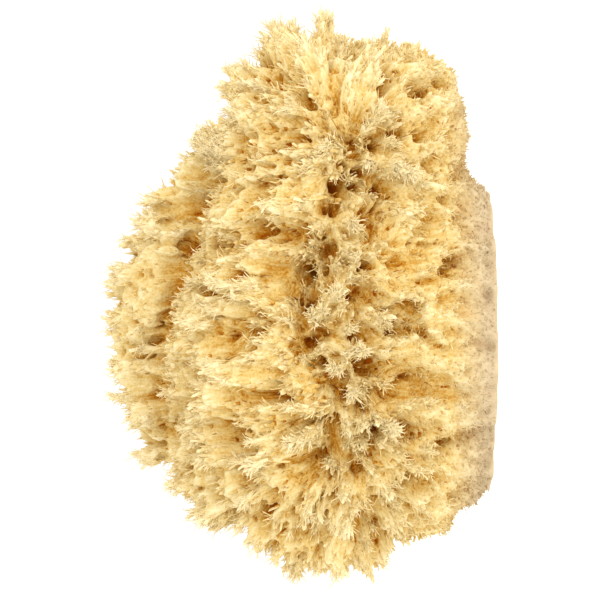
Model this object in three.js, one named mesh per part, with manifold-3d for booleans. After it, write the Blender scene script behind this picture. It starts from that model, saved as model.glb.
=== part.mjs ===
// A dried natural wool sponge, cut flat where it grew on the sea bed.
// One piece: a dome of merged lobes that stands on its cut, covered in tufts, with open pores between them.
// Millimetres, +Z up. The origin is at the middle of the cut, under the middle of the sponge.

import * as THREE from "three";
import { mergeVertices } from "three/addons/utils/BufferGeometryUtils.js";
import Module from "manifold-3d";

// Driving dimensions.
const LENGTH = 170; // along X, over the tufts
const CUT_HEIGHT = 0; // the plane of the cut
const SURFACE_DETAIL = 19; // subdivisions of each side of the icosahedron that becomes the surface

// The point that the surface is measured from, inside every lobe.
const HEART = new THREE.Vector3(0, 12, 48);

// Each lobe is an ellipsoid: its centre and its half sizes.
const LOBES = [
  { name: "root", centre: [-12, 6, 20], half: [54, 46, 32] },
  { name: "main body", centre: [-9, 2, 45], half: [64, 49, 52] },
  { name: "right shoulder", centre: [40, -4, 45], half: [39, 42, 36] },
  { name: "right corner", centre: [62, -2, 57], half: [22, 28, 22] },
  { name: "right heel", centre: [53, -3, 33], half: [27, 28, 26] },
  { name: "front crown", centre: [-18, -4, 61], half: [49, 44, 35] },
  { name: "rear crown", centre: [-7, 35, 79], half: [57, 32, 38] },
  { name: "left shoulder", centre: [-42, 2, 45], half: [33, 42, 39] },
  { name: "left corner", centre: [-63, 2, 50], half: [20, 26, 21] },
  { name: "left crown", centre: [-47, 6, 68], half: [28, 38, 27] },
  { name: "back", centre: [10, 34, 42], half: [50, 38, 42] },
];
const LOBE_MERGE = 22; // how sharply one lobe turns into the next

// The cleft that parts the rear crown from the lobes in front of it.
const REAR_LOBES = ["rear crown"];
const CLEFT = { depth: 7.5, width: 9, above: 70 };

// Tufts and pores.
const TUFTS = { count: 330, width: 8.5, height: 2.6, jitter: 0.25, seed: 7 };
const SHORT_TUFTS = { below: 26, share: 0.35 }; // near the cut the wool is cropped
const PORES = { count: 60, width: 9, depth: 9, jitter: 0.4, seed: 19 };

// A repeatable random number from 0 to 1.
function randomFrom(seed) {
  let state = seed;
  return () => {
    state = (state * 16807) % 2147483647;
    return state / 2147483647;
  };
}

// Directions spread evenly over the sphere on a spiral, each moved a little at random.
function spreadDirections({ count, jitter, seed }) {
  const random = randomFrom(seed);
  const goldenAngle = Math.PI * (3 - Math.sqrt(5));
  const spacing = Math.sqrt((4 * Math.PI) / count);
  return Array.from({ length: count }, (_, i) => {
    const height = 1 - (2 * (i + 0.5)) / count;
    const ring = Math.sqrt(1 - height * height);
    const turn = goldenAngle * i;
    const direction = new THREE.Vector3(ring * Math.cos(turn), ring * Math.sin(turn), height);
    const nudge = new THREE.Vector3(random() - 0.5, random() - 0.5, random() - 0.5);
    return direction.addScaledVector(nudge, 2 * jitter * spacing).normalize();
  });
}

// How far a ray from the heart goes before it leaves a lobe, or 0 if it misses the lobe.
function lobeReach(direction, { centre, half }) {
  const size = new THREE.Vector3(...half);
  const start = HEART.clone().sub(new THREE.Vector3(...centre)).divide(size);
  const step = direction.clone().divide(size);
  const a = step.dot(step);
  const b = step.dot(start);
  const inside = b * b - a * (start.dot(start) - 1);
  return inside > 0 ? Math.max((Math.sqrt(inside) - b) / a, 0) : 0;
}

// How far a ray goes before it leaves the last of some lobes, which are merged softly.
function mergedReach(direction, lobes) {
  const total = lobes.reduce((sum, lobe) => sum + lobeReach(direction, lobe) ** LOBE_MERGE, 0);
  return total ** (1 / LOBE_MERGE);
}

// The smooth outer surface: the furthest lobe, with a cleft where the rear crown meets the others.
function smoothReach(direction) {
  const rear = mergedReach(direction, rearLobes);
  const front = mergedReach(direction, frontLobes);
  const outer = mergedReach(direction, LOBES);
  const apart = (rear - front) / CLEFT.width;
  const height = HEART.z + direction.z * outer;
  const open = THREE.MathUtils.smoothstep(height, CLEFT.above, CLEFT.above + 15);
  return outer - CLEFT.depth * open * Math.exp(-apart * apart);
}

// The distance along the surface, in mm, to the nearest of some directions.
function nearest(direction, reach, directions) {
  const closest = directions.reduce((best, other) => Math.max(best, direction.dot(other)), -1);
  return Math.acos(Math.min(closest, 1)) * reach;
}

const rearLobes = LOBES.filter((lobe) => REAR_LOBES.includes(lobe.name));
const frontLobes = LOBES.filter((lobe) => !REAR_LOBES.includes(lobe.name));
const tufts = spreadDirections(TUFTS);
const pores = spreadDirections(PORES);

// The real surface along one direction: tufts stand up from it, and pores are sunk in it.
function reachAlong(direction) {
  const smooth = smoothReach(direction);
  const height = HEART.z + direction.z * smooth;
  const grown = THREE.MathUtils.smoothstep(height, CUT_HEIGHT, SHORT_TUFTS.below);
  const share = THREE.MathUtils.lerp(SHORT_TUFTS.share, 1, grown);
  const fromTuft = nearest(direction, smooth, tufts) / TUFTS.width;
  const fromPore = nearest(direction, smooth, pores) / PORES.width;
  const tuft = TUFTS.height * Math.cos(Math.PI * Math.min(fromTuft, 1));
  const pore = PORES.depth * Math.exp(-2 * fromPore * fromPore);
  return smooth + share * (tuft - pore);
}

// The whole body, before it is cut, as a closed mesh whose faces share their corners.
function bodyGeometry() {
  const geometry = new THREE.IcosahedronGeometry(1, SURFACE_DETAIL);
  geometry.deleteAttribute("normal");
  geometry.deleteAttribute("uv");
  const merged = mergeVertices(geometry, 1e-5);
  const position = merged.getAttribute("position");
  const direction = new THREE.Vector3();
  for (let i = 0; i < position.count; i++) {
    direction.fromBufferAttribute(position, i).normalize();
    const point = HEART.clone().addScaledVector(direction, reachAlong(direction));
    position.setXYZ(i, point.x, point.y, point.z);
  }
  return merged;
}

const wasm = await Module();
wasm.setup();

function toSolid(geometry) {
  return new wasm.Manifold(
    new wasm.Mesh({
      numProp: 3,
      vertProperties: geometry.getAttribute("position").array,
      triVerts: new Uint32Array(geometry.index.array),
    }),
  );
}

function toGeometry(solid) {
  const mesh = solid.getMesh();
  const geometry = new THREE.BufferGeometry();
  geometry.setAttribute("position", new THREE.BufferAttribute(mesh.vertProperties, 3));
  geometry.setIndex(new THREE.BufferAttribute(mesh.triVerts, 1));
  return geometry;
}

// The block below the cut, which is taken off the body.
function seaBedGeometry() {
  const side = 3 * LENGTH;
  const block = new THREE.BoxGeometry(side, side, side);
  block.deleteAttribute("normal");
  block.deleteAttribute("uv");
  block.translate(0, 0, CUT_HEIGHT - side / 2);
  return mergeVertices(block);
}

// Moves the sponge so that the middle of its box is over the origin, at its real length.
function centred(geometry) {
  geometry.computeBoundingBox();
  const { min, max } = geometry.boundingBox;
  geometry.translate(-(min.x + max.x) / 2, -(min.y + max.y) / 2, -min.z);
  const scale = LENGTH / (max.x - min.x);
  return geometry.scale(scale, scale, scale);
}

const cutBody = toSolid(bodyGeometry()).subtract(toSolid(seaBedGeometry()));
const geometry = centred(toGeometry(cutBody));
geometry.computeVertexNormals();

const wool = new THREE.MeshStandardMaterial({ color: 0xe4c588, roughness: 0.95, metalness: 0 });
const sponge = new THREE.Mesh(geometry, wool);
sponge.name = "sponge";

const part = new THREE.Group();
part.add(sponge);

export default part;
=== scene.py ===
"""A dried natural wool sponge, standing on its cut.

Four kinds of piece make it up: the body with its tufts, its pores and the walls between them, the shreds that
lie on the walls, the fibres that fray from their crests, and the short pile near the cut. All of them grow on
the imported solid, in its frame. Lengths are in millimetres until a mesh is made, and in metres in Blender.
"""

import bpy
import numpy as np
import openvdb as vdb
from mathutils import Matrix, Vector
from mathutils.kdtree import KDTree


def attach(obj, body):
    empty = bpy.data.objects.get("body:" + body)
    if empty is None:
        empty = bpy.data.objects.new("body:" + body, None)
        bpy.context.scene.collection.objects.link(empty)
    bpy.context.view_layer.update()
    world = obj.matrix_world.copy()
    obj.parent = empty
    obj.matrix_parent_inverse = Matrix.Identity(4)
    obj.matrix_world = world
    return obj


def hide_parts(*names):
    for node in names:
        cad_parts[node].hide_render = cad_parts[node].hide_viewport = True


MM = 0.001  # one millimetre in Blender's metres
SEED = 11  # of everything random that isn't noise, which has seeds of its own

# Grids.
DEPTH_STEP = 1.5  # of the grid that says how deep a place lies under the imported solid's surface
DEPTH_BLUR = 3  # how often that grid is evened
NORMAL_BLUR = 14  # how often more, to find the way out
KNOWN_DEPTH = 36.0  # how far in the depth is known
MARGIN = 9.0  # free space kept around the solid
ON_CUT = 0.01  # points of the solid lower than this are on its cut
CUT_FACES_DOWN = 0.98  # a triangle is on its cut if it faces down by at least this share
CUT_FACES_BELOW = 0.5  # and begins lower than this
BODY_STEP = 0.66  # of the grid that holds the body
CROWD_CELLS = 2  # the two grids that say how crowded a place is have cells of this many steps
CROWD_BLURS = (5, 40)  # how often they are evened
LATTICE = 32  # how many cells noise has along each axis before it repeats, a power of two
LATTICE_START = 1000.0  # where the lattice starts, so that no place has a number below zero
GRID_NOISE_GAIN = 1.8  # brings the noise on grids up to about 1

# Growth: wool runs out from a line inside the sponge, and lies over to the sides.
LINE_HEIGHT = 0.39  # of the sponge's height
LINE_HALF = 42.0  # half the line's length, along X
LINE_STRAY = {"size": 34.0, "seed": 5, "amount": 11.0}  # how the line wanders
OUTWARD = 0.5  # how much the way out of the solid counts for
LEAN = 2.3  # how much the way over to the side counts for, at most
LEAN_FROM_LINE = (3.0, 26.0)  # the distances from the line over which it comes up to that
LEAN_BELOW_LINE = (0.0, 20.0, 0.35)  # how far down it falls off, and the share that is left
LEAN_INSIDE = (3.0, 14.0, 0.3)  # the same for how deep
SWIRLS = (
    {"size": 24.0, "seed": 3, "amount": 0.30},
    {"size": 9.0, "seed": 4, "amount": 0.25},
)
NO_WAY_DOWN = (2.0, 16.0)  # heights: wool below the first doesn't run down, and above the second it may
STRAND_STEP = 3.0  # of the grid that holds the ends of the strands
STRAND_STEPS = 8  # how many steps the search for an end takes
STRAND_PACE = 0.6  # the share of the way left that each step takes
STRAND_TOP = 3.0  # the strands end this far above the solid
STRAND_RISE = 0.35  # the least that a strand is taken to rise for each length along it
CROPPED = (6.0, 36.0)  # heights: the wool is short below the first and long above the second

# Tufts: how thick the strands that stand together are, and how far the gaps between them run in.
TUFTS = (
    {"size": 6.5, "seed": 60, "dip": 3.5},
    {"size": 3.3, "seed": 61, "dip": 4.9},
    {"size": 1.8, "seed": 62, "dip": 2.8},
)
TUFT_GAP = {"middle": 0.45, "slope": 0.9, "most": 1.1}  # the share of the dip, for noise from -1 to 1
TUFT_RISE = 2.7  # how far the tips stand above the solid
TUFT_SHELL = (-5.0, 12.0)  # the depths that have tufts
TUFT_CALM = {"heights": (3.0, 48.0), "at_cut": 0.3, "behind": 0.65}  # shares of their depth

# X and height of the edge of the front lobes, where they stand over the lobe behind, and the hollow at its
# foot.
VALLEY = ((38, 79), (21, 87), (6, 91), (-12, 97), (-30, 98), (-45, 95))
VALLEY_CUT = {"depth": 5.2, "beyond": 3.0, "width": 4.2, "back": (8.0, 26.0), "ends": (10.0, 8.0)}
VALLEY_STEP = 10.0  # how far past the edge the lobe behind begins in full

# Where the wool stands higher than the solid, or lower: the middle, the reach and the rise.
SWELLS = (
    ((50, 15, 78), 12, 8),
    ((44, 22, 101), 9, -6),
    ((63, 8, 92), 8, -3),
    ((88, 0, 62), 9, -3),
)

# Pores: how far apart, how wide at the mouth, how deep, how many have a twin, and how many fewer there are
# far from the line. They thin out over the distances of RIDGE.
LARGE_PORES = {"spacing": 8.4, "radius": (1.9, 4.4), "depth": 17.0, "twins": 0.5, "rare": 0.97}
SMALL_PORES = {"spacing": 5.4, "radius": (0.7, 1.6), "depth": 6.0, "twins": 0.3, "rare": 0.97}
RIDGE = (10.0, 30.0)
MOUTHS_TRIED = 16000
LOWEST_MOUTH = 9.0
CROPPED_RARE = 0.97  # how many fewer pores there are at the cut
MOUTHS_APART = 0.8  # the least wall between a small pore's middle and a large pore
PORE_ROOM = {"size": 16.0, "seed": 41, "amount": 0.3}  # how the spacing varies
MOSTLY_SMALL = 1.3  # a power that makes small sizes the more common
TWIN = {"aside": 1.3, "size": 0.8, "radius": 0.75}
CROPPED_PORE = {"spacing": 0.75, "depth": 0.5, "radius": 0.45}  # shares at the cut
SHALLOWEST = 0.55  # the smallest pores' share of the depth
PORE_DEPTHS = (-0.25, 0.0, 0.18, 0.36, 0.56, 0.78, 1.0)  # shares of the depth, below which
PORE_SHARES = (1.6, 1.2, 0.95, 0.8, 0.65, 0.45, 0.15)  # the pore has these shares of its width
PORE_REACH = 3.2  # how far outside a pore the distance to it is known
PORE_EDGES = (
    {"size": 3.8, "seed": 54, "amount": 0.95},
    {"size": 1.9, "seed": 55, "amount": 0.5},
)

# Canals that the cut has opened: they start below it and run up.
CUT_PORES = {"spacing": 6.5, "radius": (0.8, 2.2), "depth": 9.0, "below": 2.0}
CUT_PORES_TRIED = 6000
CUT_PORES_INSIDE = 5.0  # the least depth under the solid's side
CUT_PORES_SMALL = 1.5  # a power, like MOSTLY_SMALL
CUT_PORES_LEAN = 0.15
CUT_PORES_SHARES = (1.1, 0.5)

# The walls between the pores: low where they are thin, and full height where three pores meet.
WALL_DIP = 7.0
WALL_THIN = 0.2
WALL_THICK = 2.2
GROOVE = {"size": 13.0, "seed": 51, "sharpness": 3.2, "depth": 2.8}
ROUGHNESS = {"size": 1.7, "seed": 53, "amount": 0.35}

# Near the cut the body is lower and smoother, and the wool lies in upright rows.
BODY_CROPPED = (4.0, 36.0)  # heights, like CROPPED
CROPPED_RELIEF = 0.6  # the share of the walls and grooves that is left at the cut
CROPPED_DIP = 0.6
CROPPED_ROWS = {"size": (5.0, 7.0, 22.0), "seed": 56, "depth": 1.8}

# The body is made in two halves, which meet behind the edge that the camera sees.
HALVES_MEET = 6.0
HALVES_OVERLAP = 0.35  # how far each half goes on past that
HALF_FACES = {"front": 190000, "rear": 95000}

# Where shreds and fibres stand: more of them in front, near the cut and along the ridge.
FRONT_SHARE = 1.4
FRONT = (-5.0, 20.0)  # along Y, where that share falls to 1
RIDGE_SHARE = 1.2
LOWEST_STRAND = 1.0
GROUND_GAP = 0.5  # no shred or fibre comes nearer to the ground
TURN_SPREAD = 1.3  # how much the way that they curl turns at each step
CURL_SPREAD = (0.3, 1.3)
CURL_STEPS = 2  # the curl is full from this step
FACES_PER_PIECE = 195000

# "keep" is how strongly they keep to the crests, "lift" how far they lift off the wall, and "stray" how far
# they stray from their way. "rooted" is the share of the length that lies behind the place they are grown at,
# and "steps" are the shares between the points of their path. "cropped" is the share of a length at the cut.
# "gamma" spreads the fibres' lengths, which are then kept within "length". Of the places "tried" for the pile,
# "count" are taken, "fading" is a power that says how it thins out upwards, and "used" are the points kept of
# its paths.
SHREDS = {
    "count": 6000,
    "keep": 7.0,
    "lift": 0.25,
    "stray": 0.15,
    "length": (3.5, 8.5),
    "cropped": 0.5,
    "rooted": 0.55,
    "sunk": 0.1,
    "steps": (0.35, 0.3, 0.25, 0.1),
    "curl": 0.45,
    "width": (0.35, 1.1),
    "cropped_width": 0.7,
    "thickness": (0.12, 0.22),
    "profile": (0.7, 1.0, 0.95, 0.8),
    "ragged": (0.75, 1.2),
    "sides": 4,
}
FIBRES = {
    "count": 24000,
    "keep": 11.0,
    "lift": (0.35, 1.5),
    "stray": 0.24,
    "gamma": (4.0, 0.95),
    "length": (1.6, 7.5),
    "cropped": 0.6,
    "rooted": 0.35,
    "steps": (0.5, 0.35, 0.15),
    "curl": 1.7,
    "radius": (0.11, 0.19),
    "profile": (0.9, 1.0, 0.8),
    "sides": 3,
}
PILE = {
    "count": 12000,
    "tried": 72000,
    "keep": 1.0,
    "fading": 0.5,
    "stray": 0.45,
    "length": (1.7, 3.2),
    "sunk": 1.1,
    "steps": (0.5, 0.4, 0.1),
    "used": [0, 1, 3],
    "curl": 1.0,
    "radius": (0.13, 0.22),
    "profile": (1.0, 0.9),
    "sides": 3,
}

rng = np.random.default_rng(SEED)


# ---------------------------------------------------------------- small maths


def unit(v):
    """Vectors at length 1."""
    return v / np.maximum(np.linalg.norm(v, axis=-1, keepdims=True), 1e-9)


def ramp(x, low, high):
    """0 at low, 1 at high, and smooth in between."""
    t = np.clip((x - low) / (high - low), 0.0, 1.0)
    return t * t * (3 - 2 * t)


def between(low, high, share):
    return low + (high - low) * share


def falling(x, low, high, left):
    """1 at low, a share that is left at high, and smooth in between."""
    return between(1.0, left, ramp(x, low, high))


def dot(a, b):
    return (a * b).sum(-1, keepdims=True)


def across(v, axis):
    """The part of v at right angles to an axis."""
    return unit(v - dot(v, axis) * axis)


def sample(grid, points, low, step):
    """A grid's values at some points, between its cells in proportion."""
    at = np.clip((points - low) / step, 0, np.array(grid.shape[:3]) - 1.001)
    cell = at.astype(int)
    part = (at - cell).astype(np.float32)
    found = 0
    for corner in np.ndindex(2, 2, 2):
        weight = np.prod(np.where(corner, part, 1 - part), -1)
        value = grid[tuple((cell + corner)[..., i] for i in range(3))]
        found = found + value * (weight if grid.ndim == 3 else weight[..., None])
    return found


def noise(points, size, seed, amount=1.0, channels=3):
    """Smooth random vectors at some points, up to an amount each way, with features of a size."""
    values = np.random.default_rng(seed).uniform(-1, 1, (LATTICE**3, channels)).astype(np.float32)
    at = points / size + LATTICE_START
    cell = np.floor(at).astype(np.int32)
    part = (at - cell).astype(np.float32)
    part = part * part * (3 - 2 * part)
    share = (1 - part, part)
    rows = (cell & (LATTICE - 1), (cell + 1) & (LATTICE - 1))
    found = 0
    for x, y, z in np.ndindex(2, 2, 2):
        index = (rows[x][..., 0] * LATTICE + rows[y][..., 1]) * LATTICE + rows[z][..., 2]
        weight = share[x][..., 0] * share[y][..., 1] * share[z][..., 2]
        found = found + values[index] * weight[..., None]
    return found * amount


def weights(places, cells):
    """A matrix that turns values at whole numbers into values at some places, as a quadratic spline."""
    gap = np.abs(places[:, None] - np.arange(cells)[None, :])
    near = np.where(gap < 0.5, 0.75 - gap**2, 0.5 * np.clip(1.5 - gap, 0, None) ** 2)
    near = near.astype(np.float32)
    return near / near.sum(1, keepdims=True)


def spread_out(coarse, places):
    """A coarse grid's values on a fine grid. places holds the fine grid's coordinates in coarse cells."""
    for axis in range(3):
        matrix = weights(places[axis], coarse.shape[axis])
        coarse = np.moveaxis(np.tensordot(matrix, coarse, (1, axis)), 0, axis)
    return coarse


def grid_noise(axes, size, seed, amount=1.0):
    """Smooth random numbers on a grid, up to about an amount each way, with features of a size, or of one
    size for each axis."""
    sizes = np.broadcast_to(size, 3)
    places = [(a - a[0]) / each + 1 for a, each in zip(axes, sizes)]
    cells = [int(p[-1]) + 3 for p in places]
    lattice = np.random.default_rng(seed).uniform(-1, 1, cells).astype(np.float32)
    return spread_out(lattice, places) * GRID_NOISE_GAIN * amount


def blurred(grid, times):
    """A grid with each cell evened with its neighbours, several times."""
    for _ in range(times):
        for axis in range(3):
            g = np.moveaxis(grid, axis, 0)
            out = 0.5 * g
            out[1:] += 0.25 * g[:-1]
            out[:-1] += 0.25 * g[1:]
            out[0] += 0.25 * g[0]
            out[-1] += 0.25 * g[-1]
            grid = np.moveaxis(out, 0, axis)
    return grid


def search_tree(points):
    """A tree that finds the nearest of some points."""
    tree = KDTree(len(points))
    for i, p in enumerate(points):
        tree.insert(p, i)
    tree.balance()
    return tree


def thin_out(points, spacing):
    """Which points stay when none may lie nearer together than a spacing. Earlier points go first."""
    tree = search_tree(points)
    gone = np.zeros(len(points), bool)
    kept = []
    for i, (p, room) in enumerate(zip(points, np.broadcast_to(spacing, len(points)))):
        if gone[i]:
            continue
        kept.append(i)
        for _, j, _ in tree.find_range(p, room):
            gone[j] = True
    return np.array(kept)


def nearest_gap(points, others, radii):
    """How far each point lies outside the nearest of some spheres, told apart by their centres."""
    tree = search_tree(others)
    found = [tree.find(p) for p in points]
    number = np.array([f[1] for f in found])
    return np.array([f[2] for f in found]) - radii[number]


def mesh_arrays(mesh):
    """A mesh's points in millimetres and its triangles."""
    mesh.calc_loop_triangles()
    points = np.empty(len(mesh.vertices) * 3, np.float32)
    mesh.vertices.foreach_get("co", points)
    triangles = np.empty(len(mesh.loop_triangles) * 3, np.int32)
    mesh.loop_triangles.foreach_get("vertices", triangles)
    return points.reshape(-1, 3) / MM, triangles.reshape(-1, 3).astype(np.uint32)


def face_ways(corners):
    """The way each triangle faces, as long as twice its area."""
    return np.cross(corners[:, 1] - corners[:, 0], corners[:, 2] - corners[:, 0])


def random_places(corners, weight, count):
    """Random points on triangles, more on those of greater weight, and the triangle that each is on."""
    pick = rng.choice(len(weight), count, p=weight / weight.sum())
    u, v = rng.random((2, count, 1))
    u, v = np.where(u + v > 1, 1 - u, u), np.where(u + v > 1, 1 - v, v)
    a, b, c = (corners[pick, i] for i in range(3))
    return a + u * (b - a) + v * (c - a), pick


# ---------------------------------------------------------------- the solid


class Solid:
    """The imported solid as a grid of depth: how far each place lies under its surface."""

    def __init__(self, obj):
        self.points, self.triangles = mesh_arrays(obj.data)
        self.low = self.points.min(0) - MARGIN
        self.high = self.points.max(0) + MARGIN
        self.height = float(self.points[:, 2].max())
        self.smooth = blurred(self.depths(), DEPTH_BLUR)
        slope = np.stack(np.gradient(blurred(self.smooth, NORMAL_BLUR)), -1)
        self.outward = unit(-slope).astype(np.float32)

    def depths(self):
        """The depth of each cell. The solid goes on under its cut here, so that a place near the cut is as
        deep as it was before the cut."""
        uncut = self.points.copy()
        uncut[uncut[:, 2] < ON_CUT, 2] = -KNOWN_DEPTH
        level = vdb.FloatGrid.createLevelSetFromPolygons(
            ((uncut - self.low) / DEPTH_STEP).astype(np.float32),
            triangles=self.triangles,
            transform=vdb.createLinearTransform(voxelSize=1.0),
            halfWidth=KNOWN_DEPTH / DEPTH_STEP,
        )
        shape = np.ceil((self.high - self.low) / DEPTH_STEP).astype(int) + 1
        grid = np.empty(tuple(shape), np.float32)
        level.copyToArray(grid)
        return -grid * DEPTH_STEP

    def depth(self, points):
        return sample(self.smooth, points, self.low, DEPTH_STEP)

    def normal(self, points):
        return unit(sample(self.outward, points, self.low, DEPTH_STEP))

    def scatter(self, count):
        """Points spread at random over the surface, without the cut."""
        corners = self.points[self.triangles]
        ways = face_ways(corners)
        area = np.linalg.norm(ways, axis=1)
        area[(ways[:, 2] < -CUT_FACES_DOWN * area) & (corners[:, 0, 2] < CUT_FACES_BELOW)] = 0
        return random_places(corners, area, count)[0]


def from_line(points):
    """The way from the line to each point, seen from the front."""
    side = points + noise(points, **LINE_STRAY)
    side[..., 0] -= np.clip(side[..., 0], -LINE_HALF, LINE_HALF)
    side[..., 1] = 0
    side[..., 2] -= LINE_HEIGHT * solid.height
    return side


def past_ridge(points):
    """0 near the line and 1 far from it."""
    return ramp(np.linalg.norm(from_line(points), axis=-1), *RIDGE)


def growth(points):
    """The way the wool grows: out of the solid, and over to the sides, away from the line."""
    side = from_line(points)
    far = np.linalg.norm(side, axis=-1, keepdims=True)
    lean = LEAN * ramp(far, *LEAN_FROM_LINE) * falling(-side[..., 2:], *LEAN_BELOW_LINE)
    lean = lean * falling(solid.depth(points), *LEAN_INSIDE)[..., None]
    swirl = sum(noise(points, **kind) for kind in SWIRLS)
    way = unit(OUTWARD * solid.normal(points) + lean * side / (far + 1e-6) + swirl)
    # Near the cut the wool doesn't run down into the ground.
    way[..., 2] -= np.minimum(way[..., 2], 0) * (1 - ramp(points[..., 2], *NO_WAY_DOWN))
    return unit(way)


def strand_ends(points):
    """Where the strand of growth through each point leaves the wool, nearly. It is much the same all along a
    strand."""
    ends = points.copy()
    for _ in range(STRAND_STEPS):
        way = growth(ends)
        rise = np.maximum(dot(way, solid.normal(ends)), STRAND_RISE)
        ends += way * (STRAND_PACE / rise) * (solid.depth(ends) + STRAND_TOP)[:, None]
    return ends


def valley_height(x):
    """How high the edge of the front lobes is."""
    along, height = np.array(VALLEY[::-1], float).T
    return np.interp(x, along, height)


def beyond_valley(x, z):
    """0 on the front lobes and 1 on the lobe behind them."""
    return ramp(z - valley_height(x), 0, VALLEY_STEP)


def cropping(points):
    """0 in the open wool and 1 at the cut, where the wool is short."""
    return 1 - ramp(points[..., 2], *CROPPED)


# ---------------------------------------------------------------- pores


def pore_mouths(kind, others):
    """Where pores open: fewer near the cut and far from the line, and none on the other pores."""
    mouths = solid.scatter(MOUTHS_TRIED)
    open_wool = rng.random(len(mouths)) > CROPPED_RARE * cropping(mouths)
    mouths = mouths[(mouths[:, 2] > LOWEST_MOUTH) & open_wool]
    mouths = mouths[rng.random(len(mouths)) > kind["rare"] * past_ridge(mouths)]
    if others is not None:
        paths, radii = others
        mouths = mouths[nearest_gap(mouths, paths[:, 1], radii[:, 1]) > MOUTHS_APART]
    room = 1 + noise(mouths, **PORE_ROOM, channels=1)[:, 0]
    crop = between(1.0, CROPPED_PORE["spacing"], cropping(mouths))
    return mouths[thin_out(mouths, kind["spacing"] * room * crop)]


def place_pores(kind, others=None):
    """Pores as bent tubes that follow the growth: their points and their radii."""
    mouths = pore_mouths(kind, others)
    size = rng.random(len(mouths)) ** MOSTLY_SMALL
    twin = rng.random(len(mouths)) < kind["twins"]
    radius = between(*kind["radius"], size)
    aside = across(rng.normal(0, 1, mouths[twin].shape), growth(mouths[twin]))
    beside = mouths[twin] + aside * (radius[twin] * TWIN["aside"])[:, None]
    mouths = np.concatenate([mouths, beside])
    size = np.concatenate([size, size[twin] * TWIN["size"]])
    radius = np.concatenate([radius, radius[twin] * TWIN["radius"]])
    cropped = cropping(mouths)
    depth = kind["depth"] * between(SHALLOWEST, 1.0, size)
    depth = depth * between(1.0, CROPPED_PORE["depth"], cropped)
    radius = radius * between(1.0, CROPPED_PORE["radius"], cropped)
    return pore_paths(mouths, depth), radius[:, None] * np.array(PORE_SHARES)


def pore_paths(mouths, depth):
    """The pores' points, from one above the mouth down to the bottom."""
    paths = [mouths - growth(mouths) * (PORE_DEPTHS[0] * depth)[:, None], mouths]
    for above, below in zip(PORE_DEPTHS[1:], PORE_DEPTHS[2:]):
        step = (below - above) * depth
        paths.append(paths[-1] - growth(paths[-1]) * step[:, None])
    return np.stack(paths, 1)


def place_cut_pores():
    """Canals that the cut has opened: straight, and upright."""
    kind = CUT_PORES
    spots = rng.uniform(solid.low, solid.high, (CUT_PORES_TRIED, 3))
    spots[:, 2] = 0
    spots = spots[solid.depth(spots) > CUT_PORES_INSIDE]
    spots = spots[thin_out(spots, kind["spacing"])]
    radius = between(*kind["radius"], rng.random(len(spots)) ** CUT_PORES_SMALL)
    lean = np.array([0, 0, 1.0]) + rng.normal(0, CUT_PORES_LEAN, (len(spots), 3))
    paths = np.stack([spots - lean * kind["below"], spots + lean * kind["depth"]], 1)
    return paths, radius[:, None] * np.array(CUT_PORES_SHARES)


def pore_distance(shape, low, groups):
    """How far each place lies outside the nearest pore, in millimetres, as far as PORE_REACH."""
    gap = np.full(shape, PORE_REACH, np.float32)
    for paths, radii in groups:
        for path, radius in zip(paths, radii):
            for k in range(len(path) - 1):
                widen(gap, low, path[k : k + 2], radius[k : k + 2])
    return gap


def widen(gap, low, ends, radii):
    """Takes one tapered length of a pore into the grid of distances."""
    (a, b), (r0, r1) = ends, radii
    reach = max(r0, r1) + PORE_REACH
    first = np.ceil((np.minimum(a, b) - reach - low) / BODY_STEP).astype(int)
    last = np.floor((np.maximum(a, b) + reach - low) / BODY_STEP).astype(int) + 1
    first = np.clip(first, 0, gap.shape)
    last = np.clip(last, 0, gap.shape)
    if (last <= first).any():
        return
    box = tuple(slice(f, g) for f, g in zip(first, last))
    x, y, z = (
        (low[i] + BODY_STEP * np.arange(first[i], last[i]) - a[i]).astype(np.float32)
        for i in range(3)
    )
    x, y, z = x[:, None, None], y[None, :, None], z[None, None, :]
    along = (b - a).astype(np.float32)
    length2 = float(along @ along)
    run = x * along[0] + y * along[1] + z * along[2]
    t = np.clip(run / length2, 0, 1)
    far2 = x * x + y * y + z * z + t * (t * length2 - 2 * run)
    off = np.sqrt(np.maximum(far2, 0)) - (r0 + t * (r1 - r0))
    np.minimum(gap[box], off, out=gap[box])


# ---------------------------------------------------------------- the body


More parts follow.
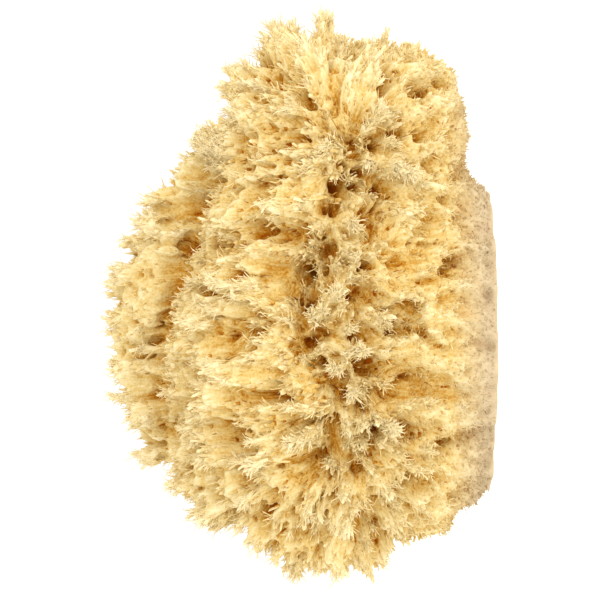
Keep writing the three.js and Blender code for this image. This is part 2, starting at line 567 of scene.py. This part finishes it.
class Body:
    """The body as a grid: how far inside it each place lies."""

    def __init__(self):
        self.low = solid.low
        self.shape = tuple(np.ceil((solid.high - solid.low) / BODY_STEP).astype(int) + 1)
        self.axes = [solid.low[i] + BODY_STEP * np.arange(self.shape[i]) for i in range(3)]
        self.field = self.wool(self.pores())
        solid_share = np.clip(self.field / BODY_STEP + 0.5, 0, 1)
        coarse = solid_share[::CROWD_CELLS, ::CROWD_CELLS, ::CROWD_CELLS]
        self.near = blurred(coarse, CROWD_BLURS[0])
        self.wide = blurred(self.near, CROWD_BLURS[1])

    def pores(self):
        """How far outside the pores each place lies, with rough edges."""
        large = place_pores(LARGE_PORES)
        small = place_pores(SMALL_PORES, large)
        gap = pore_distance(self.shape, self.low, [large, small, place_cut_pores()])
        gap += sum(grid_noise(self.axes, **kind) for kind in PORE_EDGES)
        return gap

    def wool(self, gap):
        """How far inside the wool each place lies."""
        ratio = BODY_STEP / DEPTH_STEP
        deep = spread_out(solid.smooth, [np.arange(n) * ratio for n in self.shape])
        dip = self.relief(gap)
        shell = (deep > TUFT_SHELL[0]) & (deep < TUFT_SHELL[1])
        dip[shell] += self.tufts(shell) * self.calm()[shell]
        field = np.minimum(gap, deep - dip)
        field += grid_noise(self.axes, **ROUGHNESS)
        return np.minimum(field, self.axes[2][None, None, :]).astype(np.float32)

    def relief(self, gap):
        """How far the surface lies under the solid's, apart from the tufts."""
        cropped = 1 - ramp(self.axes[2][None, None, :], *BODY_CROPPED)
        groove = grid_noise(self.axes, GROOVE["size"], GROOVE["seed"])
        groove = 1 - np.minimum(np.abs(groove) * GROOVE["sharpness"], 1)
        dip = WALL_DIP * (1 - ramp(gap, WALL_THIN, WALL_THICK))
        dip += GROOVE["depth"] * groove
        dip *= between(1.0, CROPPED_RELIEF, cropped)
        dip += CROPPED_DIP * cropped - TUFT_RISE
        rows = grid_noise(self.axes, CROPPED_ROWS["size"], CROPPED_ROWS["seed"])
        dip += cropped * CROPPED_ROWS["depth"] * rows
        dip += self.valley()
        for middle, reach, rise in SWELLS:
            dip -= self.swell(middle, reach, rise)
        return dip

    def calm(self):
        """How full the tufts are: 1 in the open wool, and less near the cut and on the lobe behind."""
        x, y, z = self.axes
        near_cut = between(TUFT_CALM["at_cut"], 1.0, ramp(z, *TUFT_CALM["heights"]))
        full = near_cut * between(1.0, TUFT_CALM["behind"], beyond_valley(x[:, None], z[None, :]))
        return np.broadcast_to(full[:, None, :].astype(np.float32), self.shape)

    def swell(self, middle, reach, rise):
        """A round hill on the wool, or a hollow."""
        x, y, z = (np.exp(-(((a - m) / reach) ** 2)) for a, m in zip(self.axes, middle))
        return (rise * x[:, None, None] * y[None, :, None] * z[None, None, :]).astype(np.float32)

    def valley(self):
        """The hollow at the foot of the front lobes' edge."""
        x, y, z = (a.astype(np.float32) for a in self.axes)
        foot = valley_height(x) + VALLEY_CUT["beyond"]
        left, right = VALLEY[-1][0], VALLEY[0][0]
        before, after = VALLEY_CUT["ends"]
        ends = ramp(x, left - before, left) * (1 - ramp(x, right, right + after))
        off = (z[None, :] - foot[:, None]) / VALLEY_CUT["width"]
        hollow = VALLEY_CUT["depth"] * np.exp(-(off**2)) * ends[:, None]
        front = 1 - ramp(y, *VALLEY_CUT["back"])
        return (hollow[:, None, :] * front[None, :, None]).astype(np.float32)

    def tufts(self, shell):
        """How far the gaps between the tufts run in, at the places of the shell."""
        axes = [np.arange(a[0], a[-1] + STRAND_STEP, STRAND_STEP) for a in self.axes]
        coarse = np.stack(np.meshgrid(*axes, indexing="ij"), -1)
        ends = strand_ends(coarse.reshape(-1, 3)).reshape(coarse.shape).astype(np.float32)
        places = [(a - a[0]) / STRAND_STEP for a in self.axes]
        ends = np.stack([spread_out(ends[..., i], places)[shell] for i in range(3)], -1)
        dip = 0
        for kind in TUFTS:
            high = noise(ends, kind["size"], kind["seed"], channels=1)[:, 0]
            share = TUFT_GAP["middle"] + TUFT_GAP["slope"] * high
            dip = dip + kind["dip"] * np.clip(share, 0, TUFT_GAP["most"])
        return dip

    def half_mesh(self, side):
        """The points and faces of the front half or of the rear half. The halves overlap a little."""
        y = self.axes[1][None, :, None] - HALVES_MEET
        limit = HALVES_OVERLAP - y if side == "front" else HALVES_OVERLAP + y
        grid = vdb.FloatGrid()
        grid.copyFromArray(np.ascontiguousarray(np.maximum(-self.field, -limit), np.float32))
        points, _, quads = grid.convertToPolygons(0.0, 0.0)
        return points * BODY_STEP + self.low, quads

    def crowding(self, points):
        """How much of the space around some points is wool, near them and further: most in a pore."""
        step = CROWD_CELLS * BODY_STEP
        return [sample(grid, points, self.low, step) for grid in (self.near, self.wide)]


def largest_part(count, faces):
    """Which points belong to the mesh's largest joined part."""
    a = np.concatenate([faces[:, i] for i in range(4)])
    b = np.concatenate([faces[:, (i + 1) % 4] for i in range(4)])
    label = np.arange(count)
    while True:
        lowest = label.copy()
        np.minimum.at(lowest, a, label[b])
        np.minimum.at(lowest, b, label[a])
        lowest = lowest[lowest]
        lowest = lowest[lowest]
        if (lowest == label).all():
            break
        label = lowest
    names, sizes = np.unique(label, return_counts=True)
    return label == names[sizes.argmax()]


# ---------------------------------------------------------------- meshes


def new_mesh(name, points, faces, smooth=True):
    """A mesh object from points in millimetres and a list of arrays of faces."""
    mesh = bpy.data.meshes.new(name)
    corners = np.concatenate([f.ravel() for f in faces]).astype(np.int32)
    totals = np.concatenate([np.full(len(f), f.shape[1]) for f in faces])
    starts = np.concatenate([[0], np.cumsum(totals)[:-1]]).astype(np.int32)
    mesh.vertices.add(len(points))
    mesh.vertices.foreach_set("co", (points * MM).astype(np.float32).ravel())
    mesh.loops.add(len(corners))
    mesh.loops.foreach_set("vertex_index", corners)
    mesh.polygons.add(len(totals))
    mesh.polygons.foreach_set("loop_start", starts)
    mesh.polygons.foreach_set("use_smooth", np.full(len(totals), smooth))
    mesh.update(calc_edges=True)
    mesh.validate()
    obj = bpy.data.objects.new(name, mesh)
    bpy.context.scene.collection.objects.link(obj)
    return obj


def decimated(obj, faces):
    """The object with a mesh of at most so many triangles."""
    now = sum(len(p.vertices) - 2 for p in obj.data.polygons)
    if now > faces:
        thin = obj.modifiers.new("thin", "DECIMATE")
        thin.ratio = faces / now
        graph = bpy.context.evaluated_depsgraph_get()
        mesh = bpy.data.meshes.new_from_object(obj.evaluated_get(graph))
        obj.modifiers.clear()
        obj.data = mesh
    return obj


def make_half(body, side):
    """One half of the body, without any crumbs that have come off it."""
    points, quads = body.half_mesh(side)
    keep = largest_part(len(points), quads)
    number = np.cumsum(keep) - 1
    quads = number[quads[keep[quads[:, 0]]]]
    obj = new_mesh(f"sponge_body_{side}", points[keep], [quads])
    return decimated(obj, HALF_FACES[side])


def tubes(paths, thin, wide, flat, sides):
    """Closed tapered tubes along paths (count, rings, 3), each of which ends in a point. thin and wide are
    the half sizes at each ring but the last, and flat is the way that thin is measured."""
    count, rings, _ = paths.shape
    ahead = unit(np.gradient(paths, axis=1))
    u = across(flat[:, None, :], ahead)
    v = np.cross(ahead, u)
    angle = 2 * np.pi * (np.arange(sides) + 0.5) / sides
    ring = (
        paths[:, :-1, None, :]
        + (thin[..., None] * np.cos(angle))[..., None] * u[:, :-1, None, :]
        + (wide[..., None] * np.sin(angle))[..., None] * v[:, :-1, None, :]
    )
    points = np.concatenate([ring.reshape(count, -1, 3), paths[:, -1:, :]], 1)
    begin = (np.arange(count) * points.shape[1])[:, None, None]
    faces = [
        (each[None] + begin).reshape(-1, each.shape[1]) for each in tube_faces(rings - 1, sides)
    ]
    return points.reshape(-1, 3), faces


def tube_faces(rings, sides):
    """The faces of one tube: around its wall, at its point, and at its foot."""
    i = np.arange(sides)
    j = (i + 1) % sides
    wall = [np.stack([i, j, j + sides, i + sides], 1) + r * sides for r in range(rings - 1)]
    last = (rings - 1) * sides
    point = np.stack([i + last, j + last, np.full(sides, rings * sides)], 1)
    return np.concatenate(wall), point, i[::-1][None]


def in_pieces(name, points, faces, count):
    """The same tubes as several meshes, none with too many triangles."""
    total = sum(len(f) * (f.shape[1] - 2) for f in faces)
    parts = int(np.ceil(total / FACES_PER_PIECE))
    per_tube = len(points) // count
    made = []
    for k in range(parts):
        first, last = k * count // parts, (k + 1) * count // parts
        some = []
        for f in faces:
            each = len(f) // count
            some.append(f[first * each : last * each] - first * per_tube)
        piece = points[first * per_tube : last * per_tube]
        made.append(new_mesh(f"{name}_{k + 1}", piece, some, smooth=False))
    return made


# ---------------------------------------------------------------- shreds and fibres


def crest_points(halves, count, crowd, keep):
    """Points on the body, most of them where little wool is near: on crests and tips."""
    corners = []
    for half in halves:
        points, triangles = mesh_arrays(half.data)
        corners.append(points[triangles])
    corners = np.concatenate(corners)
    ways = face_ways(corners)
    middle = corners.mean(1)
    near, _ = crowd(middle)
    front = between(FRONT_SHARE, 1.0, ramp(middle[:, 1], *FRONT))
    weight = np.linalg.norm(ways, axis=1) * np.exp(-keep * near) * front
    weight *= middle[:, 2] > LOWEST_STRAND
    weight *= 1 + cropping(middle) + RIDGE_SHARE * (1 - past_ridge(middle))
    at, pick = random_places(corners, weight, count)
    return at, unit(ways[pick])


def grow(roots, ways, lengths, steps, curl):
    """Paths that start at roots and run their ways, each with its own curl."""
    paths = [roots]
    first = across(rng.normal(0, 1, roots.shape), ways)
    second = np.cross(ways, first)
    turn = rng.normal(0, TURN_SPREAD, len(roots))
    amount = curl * rng.uniform(*CURL_SPREAD, len(roots))
    for k, share in enumerate(steps):
        angle = turn * k
        bend = first * np.cos(angle)[:, None] + second * np.sin(angle)[:, None]
        way = unit(ways + bend * (amount * min(k, CURL_STEPS) / CURL_STEPS)[:, None])
        paths.append(paths[-1] + way * (lengths * share)[:, None])
    paths = np.stack(paths, 1)
    paths[..., 2] = np.maximum(paths[..., 2], GROUND_GAP)
    return paths


def make_shreds(halves, crowd):
    """Flat shreds that lie on the walls and stand past their crests."""
    kind = SHREDS
    at, normal = crest_points(halves, kind["count"], crowd, kind["keep"])
    cropped = cropping(at)
    way = unit(growth(at) + kind["lift"] * normal + rng.normal(0, kind["stray"], at.shape))
    length = rng.uniform(*kind["length"], len(at)) * between(1.0, kind["cropped"], cropped)
    root = at - way * (kind["rooted"] * length)[:, None] - normal * kind["sunk"]
    paths = grow(root, way, length, kind["steps"], kind["curl"])
    wide = rng.uniform(*kind["width"], len(at)) * between(1.0, kind["cropped_width"], cropped)
    thin = rng.uniform(*kind["thickness"], len(at))
    profile = np.array(kind["profile"])
    profile = profile * rng.uniform(*kind["ragged"], (len(at), len(profile)))
    points, faces = tubes(paths, thin[:, None] * profile, wide[:, None] * profile, normal, kind["sides"])
    return in_pieces("sponge_shreds", points, faces, len(at))


def make_fibres(halves, crowd):
    """Fine fibres that fray from the crests and tips."""
    kind = FIBRES
    at, normal = crest_points(halves, kind["count"], crowd, kind["keep"])
    cropped = cropping(at)
    lift = between(*kind["lift"], cropped)[:, None]
    way = unit(growth(at) + lift * normal + rng.normal(0, kind["stray"], at.shape))
    length = np.clip(rng.gamma(*kind["gamma"], len(at)), *kind["length"])
    length = length * between(1.0, kind["cropped"], cropped)
    root = at - way * (kind["rooted"] * length)[:, None]
    paths = grow(root, way, length, kind["steps"], kind["curl"])
    radius = rng.uniform(*kind["radius"], len(at))[:, None] * np.array(kind["profile"])
    points, faces = tubes(paths, radius, radius, rng.normal(0, 1, at.shape), kind["sides"])
    return in_pieces("sponge_fibres", points, faces, len(at))


def make_pile(halves, crowd):
    """Short fibres that stand close together near the cut."""
    kind = PILE
    at, normal = crest_points(halves, kind["tried"], crowd, kind["keep"])
    near_cut = rng.random(len(at)) < cropping(at) ** kind["fading"]
    at, normal = at[near_cut][: kind["count"]], normal[near_cut][: kind["count"]]
    way = unit(normal + rng.normal(0, kind["stray"], at.shape))
    length = rng.uniform(*kind["length"], len(at))
    paths = grow(at - way * kind["sunk"], way, length, kind["steps"], kind["curl"])[:, kind["used"]]
    radius = rng.uniform(*kind["radius"], len(at))[:, None] * np.array(kind["profile"])
    points, faces = tubes(paths, radius, radius, rng.normal(0, 1, at.shape), kind["sides"])
    return in_pieces("sponge_pile", points, faces, len(at))


# ---------------------------------------------------------------- attributes and material

# Painted shade, partly the wool's own deeper colour: how deep in the wool a point counts as lying, from shares
# for how crowded it is near and further off and for its depth under the solid's surface, then a gain and a
# shift. The crowded places, the pores and the gaps between tufts, where shade falls, get a darker and browner
# colour.
SHADE_NEAR = 0.55
SHADE_WIDE = 0.30
SHADE_DEPTH = 0.15
DEEPEST = 15.0
STRANDS = ("sponge_shreds", "sponge_fibres")
# Shreds and fibres get more of the painted shade, so that they turn browner where they lie among other tufts.
SHADE_STRANDS = (1.35, 0.02)
SHADE_BODY = (1.0, -0.045)
SHADE_BEHIND = 0.03  # the lobe behind is this much paler

# From the tips to the pores: the wool's own cream and gold, darkened to brown by painted shade where the wool
# is crowded.
WOOL_AND_SHADE_COLOURS = [
    (0.0, (0.92, 0.80, 0.50)),
    (0.28, (0.80, 0.65, 0.315)),
    (0.55, (0.69, 0.48, 0.155)),
    (0.78, (0.52, 0.25, 0.024)),
    (1.0, (0.34, 0.085, 0.002)),
]
WOOL_RANGE = (0.09, 0.74)  # the values that get the first and the last colour
CUT_COLOUR = (0.60, 0.485, 0.33)
CUT_HEIGHTS = (0.014, 0.003)  # metres: the cut's colour starts at the first and is fullest at the second
CUT_SHARE = 0.85  # how full it is

# Noise that shifts the colour: what it is measured along, its scale and detail, the part of it that counts,
# and how far it shifts.
PATTERNS = {
    "streaks": ("strand", {"scale": 1500, "detail": 2}, (0.25, 0.75), 0.09),
    "locks": ("strand", {"scale": 450, "detail": 2}, (0.3, 0.7), 0.09),
    "patches": ("place", {"scale": 60, "detail": 3}, (0.3, 0.7), 0.02),
    "grain": ("place", {"scale": 1300, "detail": 3, "roughness": 0.65}, (0.3, 0.7), -0.09),
}
GRAIN_RANGE = (0.2, 0.8)  # the part of the grain that turns into
ROUGHNESS_RANGE = (0.8, 1.0)  # this much roughness
SPECULAR = 0.05
STREAK_RELIEF = 0.7
GRAIN_RELIEF = 1.3
BUMP_STRENGTH = 0.7
BUMP_DISTANCE = 0.0005  # metres


def store(obj, name, kind, key, values):
    """Stores values on an object's points."""
    found = obj.data.attributes.new(name, kind, "POINT")
    found.data.foreach_set(key, values.astype(np.float32).ravel())


def shade(obj, crowd):
    """Stores on each point how deep in the wool it lies, and which strand of growth it is on. The material
    turns
    the first into painted shade: darker and browner where the wool is crowded, partly also its own colour.
    """
    points = np.empty(len(obj.data.vertices) * 3, np.float32)
    obj.data.vertices.foreach_get("co", points)
    points = points.reshape(-1, 3) / MM
    near, wide = crowd(points)
    deep = np.clip(solid.depth(points) / DEEPEST, 0, 1)
    value = SHADE_NEAR * near + SHADE_WIDE * wide + SHADE_DEPTH * deep
    gain, shift = SHADE_STRANDS if obj.name.startswith(STRANDS) else SHADE_BODY
    value = gain * value + shift
    value -= SHADE_BEHIND * beyond_valley(points[:, 0], points[:, 2])
    # deep holds painted shade, darker where the wool is crowded, together with the depth under the surface.
    store(obj, "deep", "FLOAT", "value", value)
    strand = points.astype(np.float64)
    if obj.name.startswith("sponge_body"):
        strand = strand_ends(strand)
    store(obj, "strand", "FLOAT_VECTOR", "vector", strand * MM)


class Nodes:
    """A short way to write a node tree."""

    def __init__(self, tree):
        self.tree = tree

    def add(self, kind, **settings):
        node = self.tree.nodes.new("ShaderNode" + kind)
        for key, value in settings.items():
            setattr(node, key, value)
        return node

    def link(self, source, target):
        self.tree.links.new(source, target)

    def noise(self, vector, scale, detail, roughness=0.5):
        node = self.add("TexNoise")
        node.inputs["Scale"].default_value = scale
        node.inputs["Detail"].default_value = detail
        node.inputs["Roughness"].default_value = roughness
        self.link(vector, node.inputs["Vector"])
        return node.outputs["Fac"]

    def map(self, value, low, high, to_low, to_high):
        node = self.add("MapRange")
        node.inputs["From Min"].default_value = low
        node.inputs["From Max"].default_value = high
        node.inputs["To Min"].default_value = to_low
        node.inputs["To Max"].default_value = to_high
        self.link(value, node.inputs["Value"])
        return node.outputs["Result"]

    def math(self, operation, a, b):
        node = self.add("Math", operation=operation)
        for socket, value in zip(node.inputs, (a, b)):
            if isinstance(value, (int, float)):
                socket.default_value = value
            else:
                self.link(value, socket)
        return node.outputs["Value"]

    def ramp(self, value, stops):
        node = self.add("ValToRGB")
        elements = node.color_ramp.elements
        for k, (at, colour) in enumerate(stops):
            element = elements[k] if k < 2 else elements.new(at)
            element.position = at
            element.color = (*colour, 1)
        self.link(value, node.inputs["Fac"])
        return node.outputs["Color"]

    def mix(self, share, a, b):
        """A colour between the colour of a socket and a constant one."""
        node = self.add("Mix", data_type="RGBA")
        self.link(share, node.inputs["Factor"])
        self.link(a, node.inputs[6])
        node.inputs[7].default_value = (*b, 1)
        return node.outputs[2]


def wool_and_shade_material():
    """Cream at the tips and golden brown in the pores, where the brown is partly painted shade, with fine
    streaks along the growth.
    """
    material = bpy.data.materials.new("spongin_wool")
    material.use_nodes = True
    n = Nodes(material.node_tree)
    shader = material.node_tree.nodes["Principled BSDF"]
    shader.inputs["Specular IOR Level"].default_value = SPECULAR
    place = n.add("TexCoord").outputs["Object"]
    strand = n.add("Attribute", attribute_name="strand").outputs["Vector"]
    # deep: painted shade, darker and browner where the wool is crowded, partly also the wool's own colour.
    value = n.add("Attribute", attribute_name="deep").outputs["Fac"]
    found = {}
    for name, (along, kind, counts, shift) in PATTERNS.items():
        found[name] = n.noise(strand if along == "strand" else place, **kind)
        value = n.math("ADD", value, n.map(found[name], *counts, -shift, shift))
    colour = n.ramp(n.map(value, *WOOL_RANGE, 0.0, 1.0), WOOL_AND_SHADE_COLOURS)
    height = n.add("SeparateXYZ")
    n.link(place, height.inputs["Vector"])
    near_cut = n.map(height.outputs["Z"], *CUT_HEIGHTS, 0.0, CUT_SHARE)
    n.link(n.mix(near_cut, colour, CUT_COLOUR), shader.inputs["Base Color"])
    rough = n.map(found["grain"], *GRAIN_RANGE, *ROUGHNESS_RANGE)
    n.link(rough, shader.inputs["Roughness"])
    streaks = n.math("MULTIPLY", found["streaks"], STREAK_RELIEF)
    grain = n.math("MULTIPLY", found["grain"], GRAIN_RELIEF)
    bump = n.add("Bump")
    bump.inputs["Strength"].default_value = BUMP_STRENGTH
    bump.inputs["Distance"].default_value = BUMP_DISTANCE
    n.link(n.math("ADD", streaks, grain), bump.inputs["Height"])
    n.link(bump.outputs["Normal"], shader.inputs["Normal"])
    return material


# ---------------------------------------------------------------- studio

SPAN = 184.0  # how much of the scene the picture shows at the sponge, in millimetres
LOOK_AT = (1.0, 0.0, 57.0)  # millimetres
LENS = 135.0
SENSOR = 36.0
NEAREST = 0.01  # metres

# The rest of the studio is in metres.
BACKDROP_COLOUR = (1, 0.962, 0.905, 1)
BACKDROP_STRENGTH = 1.14
FLOOR_HALF = 3.0
FLOOR_COLOUR = (0.55, 0.55, 0.55, 1)
FLOOR_ROUGHNESS = 0.9
FLOOR_GLOW = 1.0  # keeps the floor white around the sponge
KEY_PLACE = (0.40, -0.90, 0.30)
KEY_AIM = (0, 0, 0.06)
KEY_SIZE = 0.40
KEY_WATTS = 2.9


def add_camera():
    """Level with the sponge's middle and rolled a quarter turn, so that the cut is at the right."""
    data = bpy.data.cameras.new("camera")
    data.lens = LENS
    data.sensor_width = SENSOR
    data.clip_start = NEAREST
    camera = bpy.data.objects.new("camera", data)
    bpy.context.scene.collection.objects.link(camera)
    right, up = Vector((0, 0, -1)), Vector((1, 0, 0))
    back = right.cross(up)
    turn = Matrix((right, up, back)).transposed().to_4x4()
    place = Vector(LOOK_AT) * MM + back * (SPAN * MM * LENS / SENSOR)
    camera.matrix_world = Matrix.Translation(place) @ turn
    bpy.context.scene.camera = camera


def add_key_light():
    """A soft light in front of the sponge, a little above it and towards X."""
    data = bpy.data.lights.new("key", "AREA")
    data.size = KEY_SIZE
    data.energy = KEY_WATTS
    lamp = bpy.data.objects.new("key", data)
    lamp.location = KEY_PLACE
    aim = Vector(KEY_AIM) - Vector(KEY_PLACE)
    lamp.rotation_mode = "QUATERNION"
    lamp.rotation_quaternion = aim.to_track_quat("-Z", "Y")
    bpy.context.scene.collection.objects.link(lamp)


def add_backdrop():
    """Even, slightly warm light from all round."""
    world = bpy.data.worlds.new("studio")
    world.use_nodes = True
    background = world.node_tree.nodes["Background"]
    background.inputs["Color"].default_value = BACKDROP_COLOUR
    background.inputs["Strength"].default_value = BACKDROP_STRENGTH
    bpy.context.scene.world = world
    bpy.context.scene.view_settings.view_transform = "Standard"


def add_floor():
    """A white floor under the sponge."""
    mesh = bpy.data.meshes.new("floor")
    side = FLOOR_HALF
    corners = [(-side, -side, 0), (side, -side, 0), (side, side, 0), (-side, side, 0)]
    mesh.from_pydata(corners, [], [(0, 1, 2, 3)])
    floor = bpy.data.objects.new("floor", mesh)
    bpy.context.scene.collection.objects.link(floor)
    pale = bpy.data.materials.new("pale_floor")
    pale.use_nodes = True
    shader = pale.node_tree.nodes["Principled BSDF"]
    shader.inputs["Base Color"].default_value = FLOOR_COLOUR
    shader.inputs["Roughness"].default_value = FLOOR_ROUGHNESS
    shader.inputs["Emission Color"].default_value = (1, 1, 1, 1)
    shader.inputs["Emission Strength"].default_value = FLOOR_GLOW
    mesh.materials.append(pale)


# ---------------------------------------------------------------- making

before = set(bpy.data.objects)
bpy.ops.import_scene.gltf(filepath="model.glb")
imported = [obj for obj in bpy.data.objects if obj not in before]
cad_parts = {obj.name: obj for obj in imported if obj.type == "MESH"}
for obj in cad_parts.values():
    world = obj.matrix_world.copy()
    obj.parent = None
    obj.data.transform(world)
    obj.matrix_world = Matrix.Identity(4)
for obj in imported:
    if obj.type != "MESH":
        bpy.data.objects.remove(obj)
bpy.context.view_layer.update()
solid = Solid(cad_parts["sponge"])
body = Body()
halves = [make_half(body, side) for side in HALF_FACES]
shreds = make_shreds(halves, body.crowding)
fibres = make_fibres(halves, body.crowding)
pile = make_pile(halves, body.crowding)
wool = wool_and_shade_material()
pieces = [*halves, *shreds, *fibres, *pile]
for piece in pieces:
    shade(piece, body.crowding)
    piece.data.materials.append(wool)
    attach(piece, "root")
    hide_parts("sponge")
add_camera()
add_backdrop()
add_floor()
add_key_light()
